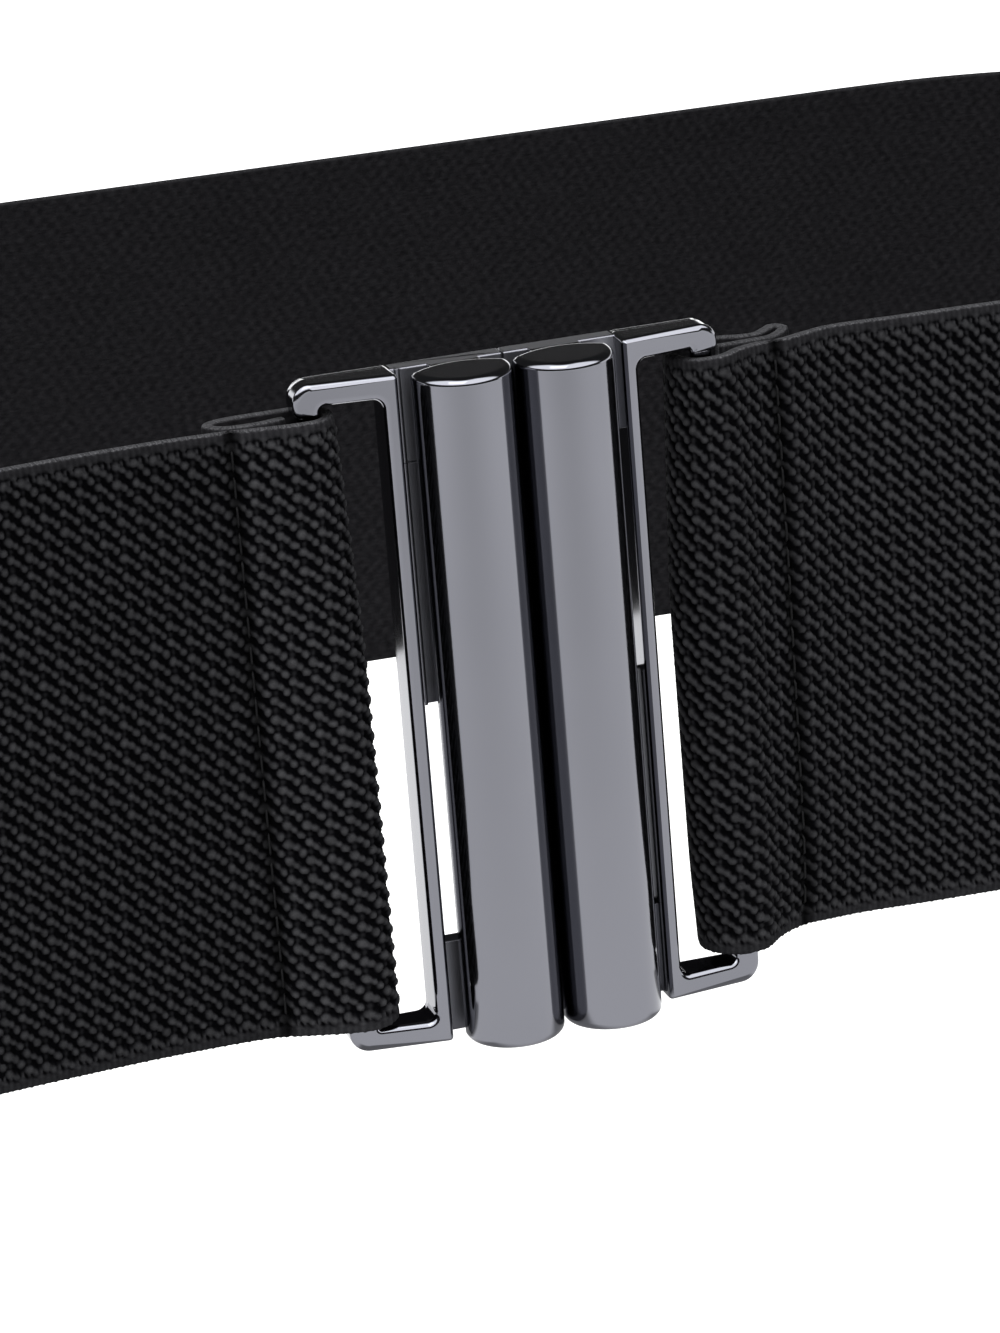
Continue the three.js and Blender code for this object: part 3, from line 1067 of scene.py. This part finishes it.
def frame_parts():
    """The frame's knuckled front layer, which gets shallower outward, its back and the strap bar."""
    outline = frame_outline(True)
    edges = (front_edge, layer_edge)
    limit = corner_limits(outline)
    places, faces = extruded(outline, -frame_depth, -knuckle_back, edges, False, 8, limit)
    share = np.clip((-places[:, 0] - inner_bar_inside) / (outer_end - inner_bar_inside), 0, 1)
    forward = (-knuckle_back - places[:, 1]) / (frame_depth - knuckle_back)
    places[:, 1] += (frame_depth - frame_end_depth) * share * forward
    outline = outline_inset(frame_outline(False), layer_inset)
    edges = (hidden_edge, back_edge)
    limit = corner_limits(outline)
    back = extruded(outline, -knuckle_back - layer_overlap, 0, edges, False, 5, limit)
    sides = (-strap_bar_axis - strap_bar_width / 2, -strap_bar_axis + strap_bar_width / 2)
    depths = (-knuckle_back - strap_bar_depth, -knuckle_back)
    levels = (arm_height / 2, buckle_height - arm_height / 2)
    bar = block(sides, depths, levels, (strap_bar_depth / 2.2, bar_edge, 6, 2))
    return [(places, faces), back, bar]


def buckle_parts():
    """The parts of the left half: each is (places, faces) of a closed solid."""
    column = extruded(column_outline(), 0, buckle_height, column_edge, True, 8)
    return [column, *web_parts(), *frame_parts()]


def joined_mesh(name, parts):
    """One closed mesh from overlapping closed parts."""
    objects = []
    for index, (places, faces) in enumerate(parts):
        objects.append(mesh_object("%s_part_%d" % (name, index), places, faces))
    for piece in objects:
        data = bmesh.new()
        data.from_mesh(piece.data)
        bmesh.ops.recalc_face_normals(data, faces=data.faces)
        data.to_mesh(piece.data)
        data.free()
    whole = objects[0]
    tools = bpy.data.collections.new(name + "_tools")
    for piece in objects[1:]:
        tools.objects.link(piece)
    union = whole.modifiers.new("union", "BOOLEAN")
    union.operation = "UNION"
    union.solver = "MANIFOLD"
    union.operand_type = "COLLECTION"
    union.collection = tools
    bpy.context.view_layer.update()
    result = bpy.data.meshes.new_from_object(whole.evaluated_get(bpy.context.evaluated_depsgraph_get()))
    for piece in objects:
        bpy.data.objects.remove(piece)
    bpy.data.collections.remove(tools)
    result.name = name
    return result


def finish_metal(name, mesh):
    """The piece with doubled points joined, and smooth but for its sharp edges."""
    same_place = 2e-6
    sharp = math.radians(32)
    data = bmesh.new()
    data.from_mesh(mesh)
    bmesh.ops.remove_doubles(data, verts=data.verts, dist=same_place)
    data.to_mesh(mesh)
    data.free()
    piece = placed(name, mesh)
    mesh.shade_smooth()
    mesh.set_sharp_from_angle(angle=sharp)
    weighted = piece.modifiers.new("weighted", "WEIGHTED_NORMAL")
    weighted.keep_sharp = True
    return piece


def make_buckle():
    left_mesh = joined_mesh("left_clasp", buckle_parts())
    right_mesh = left_mesh.copy()
    right_mesh.name = "right_clasp"
    centre = Vector((buckle_x * MM, 0, middle * MM))
    turn = Matrix.Translation(centre) @ Matrix.Rotation(math.pi, 4, "Y") @ Matrix.Translation(-centre)
    right_mesh.transform(turn)
    left = finish_metal("left_clasp", left_mesh)
    right = finish_metal("right_clasp", right_mesh)
    return left, right


# Materials


def new_material(name):
    material = bpy.data.materials.new(name)
    material.use_nodes = True
    return material, Nodes(material.node_tree)


# Ramps of the webbing's outer face, with painted shade in its grooves, its inner face and its cut edge:
# place, red, green, blue
outer_shaded_stops = [
    (0.0, 0.0005, 0.0005, 0.0007),
    (0.3, 0.0017, 0.0017, 0.0020),
    (0.6, 0.0077, 0.0077, 0.0085),
    (0.85, 0.0138, 0.0138, 0.0148),
    (1.0, 0.0170, 0.0170, 0.0180),
]
inner_stops = [(0.25, 0.0042, 0.0041, 0.0047), (0.75, 0.0076, 0.0074, 0.0082)]
# The cut edge's ramp is a painted highlight
edge_highlight_stops = [(0.35, 0.014, 0.014, 0.0155), (0.65, 0.066, 0.066, 0.070)]

# The inner face's rows of dots: radians along, the rows' pitch up, their slant and wandering
dot_rate = 3.78
dot_slant = 1.1
dot_row = 1.9
dot_wander = 1.6
dot_share = 0.2

# How the yarn's tone adds up, and how much painted shade darkens it in the seams' dents
patch_share = 0.3
tone_base = -0.17
seam_shade = 0.8
inner_relief_depth = 0.12
fibre_depth = 0.05


def webbing_material():
    material, n = new_material("webbing")
    strip = n.attribute("strip", "Vector")
    along, up, _ = n.split(strip)
    own_weave = n.attribute("own_weave")
    outside = n.step(n.attribute("outside"), 0.45, 0.55)
    # The share of the cut edge's painted highlight
    edge = n.attribute("edge")

    # The outer face's weave, from the mesh where that carries it, and elsewhere in straight rows
    from_edge = n.math("MINIMUM", up, n.minus(band_width, up))
    twill = n.step(from_edge, selvedge - selvedge_blend, selvedge + selvedge_blend)
    tooth_wave = n.math("COSINE", n.times(along, 2 * math.pi / tooth_pitch))
    plain = n.times_plus(tooth_wave, plain_wave, plain_height)
    drawn_weave = n.mix(twill, plain, weave_height(n, along, up, 0.5))
    outer_height = n.mix(own_weave, drawn_weave, n.attribute("weave"))

    # The inner face: flat rows of shallow dots, uneven from one to the next
    wander = n.noise(strip, (0.25, 0.6, 0.0))
    row_up = n.times_plus(wander, dot_wander, up)
    dots_along = n.math("SINE", n.times_plus(up, dot_slant, n.times(along, dot_rate)))
    dots_up = n.math("SINE", n.times(row_up, 2 * math.pi / dot_row))
    picks = n.noise(strip, (0.9, 2.6, 0.0), 2.0, 0.6)
    inner_height = n.times_plus(n.times(dots_along, dots_up), dot_share, picks)

    # Yarn: fine fibres, a tone for each float and slow unevenness
    fibres = n.noise(strip, (7.0, 9.0, 1.0), 3.0, 0.6)
    floats = n.noise(strip, (1.3, 1.3, 1.0), 1.0)
    patches = n.noise(strip, (0.12, 0.2, 1.0))
    tone = n.math("ADD", fibres, n.times_plus(patches, patch_share, tone_base))
    tone = n.math("ADD", floats, tone)
    # Painted shade in the seams' dents, kept off the cut edge's painted highlight
    seam_shading = n.times(n.times(n.attribute("seam"), seam_shade), n.minus(1.0, edge))
    tone = n.times(tone, n.minus(1.0, seam_shading))

    # The weave's height sets the outer colour: painted shade darkens the grooves nearly to black, and
    # the lobes' tops are lightest
    outer_shaded_colour = n.ramp(outer_height, outer_shaded_stops)
    outer_shaded_colour = n.mix_colours(1.0, outer_shaded_colour, n.attribute("paleness"), "MULTIPLY")
    colour = n.mix_colours(outside, n.ramp(inner_height, inner_stops), outer_shaded_colour)
    # The painted highlight over the cut edge
    colour = n.mix_colours(edge, colour, n.ramp(fibres, edge_highlight_stops))

    drawn = n.times(outside, n.minus(1.0, own_weave))
    relief = n.times(n.times(drawn, drawn_weave), relief_depth)
    inner_relief = n.times(n.minus(1.0, outside), inner_height)
    relief = n.times_plus(inner_relief, inner_relief_depth, relief)
    relief = n.times_plus(fibres, fibre_depth, relief)
    n.surface({
        "Base Color": n.mix_colours(1.0, colour, tone, "MULTIPLY"),
        "Normal": n.bump(relief, 0.9, MM),
        "Roughness": 0.8,
        "Specular IOR Level": 0.012,
    })
    return material


def thread_material():
    material, n = new_material("thread")
    plies = n.noise(n.coordinates(), (4000.0, 4000.0, 2500.0), 1.0)
    n.surface({
        "Base Color": n.ramp(plies, [(0.3, 0.0006, 0.0006, 0.0009), (0.7, 0.0018, 0.0018, 0.0022)]),
        "Normal": n.bump(plies, 0.5, 0.1 * MM),
        "Roughness": 0.6,
        "Specular IOR Level": 0.12,
    })
    return material


# The gunmetal: its two tones, its roughness with that of its grain, and the rougher bottoms of
# the slots beside the columns, which the polish doesn't reach
metal_stops = [(0.35, 0.152, 0.154, 0.173), (0.65, 0.159, 0.161, 0.181)]
metal_roughness = 0.08
grain_roughness = 0.04
slot_roughness = 0.28
slot_bottom = (2.3, 2.6)
slot_blend = 0.1


def metal_material():
    material, n = new_material("gunmetal")
    place = n.coordinates()
    x, y, _ = n.split(place)
    rough = n.times_plus(n.noise(place, 900.0), grain_roughness, metal_roughness)
    forward = n.minus(buckle_y * MM, y)
    beside = n.math("ABSOLUTE", n.minus(x, buckle_x * MM))
    deep = n.minus(1.0, n.step(forward, slot_bottom[0] * MM, slot_bottom[1] * MM))
    slot_end = inner_bar_inside * MM
    between = n.minus(1.0, n.step(beside, slot_end - slot_blend * MM, slot_end))
    n.surface({
        "Base Color": n.ramp(n.noise(place, 60.0, 3.0), metal_stops),
        "Normal": n.bump(n.noise(place, 250.0), 0.2, 0.01 * MM),
        "Roughness": n.times_plus(n.times(deep, between), slot_roughness, rough),
        "Metallic": 1.0,
    })
    return material


# The table: white and lit from inside, with painted shade round a place near the camera, where it glows
# a little less. What mirrors it sees it darker in patches under the columns and the arms, where no light
# gets in: painted shade as well.
table_side = 3.0
table_glow = 1.16
far_glow = 0.34
painted_shade_place = (-0.065, -0.29, 0)
painted_shade_radius = 0.3
patch_light = 0.25
foot_patches = [
    # half length, middle in front of the clasp's back, half depth, spread
    (9.0, 5.0, 3.5, 1.8),
    (20.0, 2.3, 1.9, 1.0),
]


def floor_material():
    material, n = new_material("floor")
    place = n.coordinates()
    away = n.new("VectorMath", (place, painted_shade_place), operation="DISTANCE").outputs["Value"]
    # Painted shade: the glow drops round a place near the camera
    glow = n.times_plus(n.step(away, 0.0, painted_shade_radius), far_glow, table_glow)
    x, y, _ = n.split(place)
    # Painted shade under the columns and the arms, seen by all light but the camera's own view
    open_air = 1.0
    for half_length, middle_depth, half_depth, spread in foot_patches:
        beside = n.math("ABSOLUTE", n.minus(x, buckle_x * MM))
        before = n.math("ABSOLUTE", n.minus(y, (buckle_y - middle_depth) * MM))
        beside = n.math("MAXIMUM", n.minus(beside, half_length * MM), 0.0)
        before = n.math("MAXIMUM", n.minus(before, half_depth * MM), 0.0)
        outside = n.math("SQRT", n.times_plus(beside, beside, n.times(before, before)))
        open_air = n.math("MINIMUM", open_air, n.step(outside, 0.0, spread * MM))
    mirrored = n.times(glow, n.times_plus(open_air, 1 - patch_light, patch_light))
    n.surface({
        "Emission Strength": n.mix(n.seen(), mirrored, glow),
        "Emission Color": (1, 1, 1, 1),
        "Base Color": (0.14, 0.14, 0.14, 1),
        "Roughness": 0.9,
        "Specular IOR Level": 0.0,
    })
    return material


def make_floor():
    side = table_side
    corners = [(-side, -side, 0), (side, -side, 0), (side, side, 0), (-side, side, 0)]
    mesh = bpy.data.meshes.new("floor")
    mesh.from_pydata(corners, [], [(0, 1, 2, 3)])
    mesh.materials.append(floor_material())
    placed("floor", mesh)


# The studio: a wide soft box in front and above, a white card behind, and a dark room. Heights
# and how softly they end are in degrees above the level.
front_x = -0.27
front_y = -0.963
front_blend = 0.12
box_low = (22, 3)
box_high = (78, 8)
box_glow = 4.25
card_high = (8, 3)
card_glow = 2.4
room_glow = 0.05

# The key light, in metres and watts
key_place = (-0.5, -0.9, 1.3)
key_target = (0, 0, 0.03)
key_side = 0.9
key_power = 6.8


def make_world():
    world = bpy.data.worlds.new("studio")
    world.use_nodes = True
    background = world.node_tree.nodes["Background"]
    n = Nodes(world.node_tree)
    x, y, z = n.split(n.coordinates("Generated"))

    def above(level, blend):
        return n.step(z, math.sin(math.radians(level - blend)), math.sin(math.radians(level + blend)))

    towards = n.times_plus(x, front_x, n.times(y, front_y))
    front = n.step(towards, -front_blend, front_blend)
    box = n.times(n.times(above(*box_low), n.minus(1.0, above(*box_high))), front)
    card = n.times(n.minus(1.0, above(*card_high)), n.minus(1.0, front))
    glow = n.times_plus(card, card_glow, n.times_plus(box, box_glow, room_glow))
    n.feed(background.inputs["Strength"], n.mix(n.seen(), glow, 1.0))
    n.feed(background.inputs["Color"], (1, 1, 1, 1))
    bpy.context.scene.world = world


def make_light():
    data = bpy.data.lights.new("key", "AREA")
    data.shape = "SQUARE"
    data.size = key_side
    data.energy = key_power
    light = placed("key", data)
    light.location = key_place
    light.rotation_euler = (Vector(key_target) - light.location).to_track_quat("-Z", "Y").to_euler()


make_camera()
webbing = webbing_material()
thread = thread_material()
band = make_band()
left_span, right_span = skin_spans()
left_weave = make_skin("left_weave", left_span, 0.0)
right_weave = make_skin("right_weave", right_span, 1.0)
behind = (midline.left_fold - rear_far, midline.left_fold - rear_near)
left_stitches = make_stitches("left_stitches", midline.left_seam, behind)
behind = (midline.right_fold + rear_near, midline.right_fold + rear_far)
right_stitches = make_stitches("right_stitches", midline.right_seam, behind)
for piece in (band, left_weave, right_weave, left_stitches, right_stitches):
    sewn = piece in (left_stitches, right_stitches)
    piece.data.materials.append(thread if sewn else webbing)
    piece.data.shade_smooth()
    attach(piece, "root")
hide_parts("elastic_band")

gunmetal = metal_material()
left_clasp, right_clasp = make_buckle()
for piece, node in ((left_clasp, "left_buckle_half"), (right_clasp, "right_buckle_half")):
    piece.data.materials.clear()
    piece.data.materials.append(gunmetal)
    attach(piece, "root")
    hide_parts(node)

make_floor()
make_world()
make_light()
bpy.context.scene.view_settings.view_transform = "Standard"
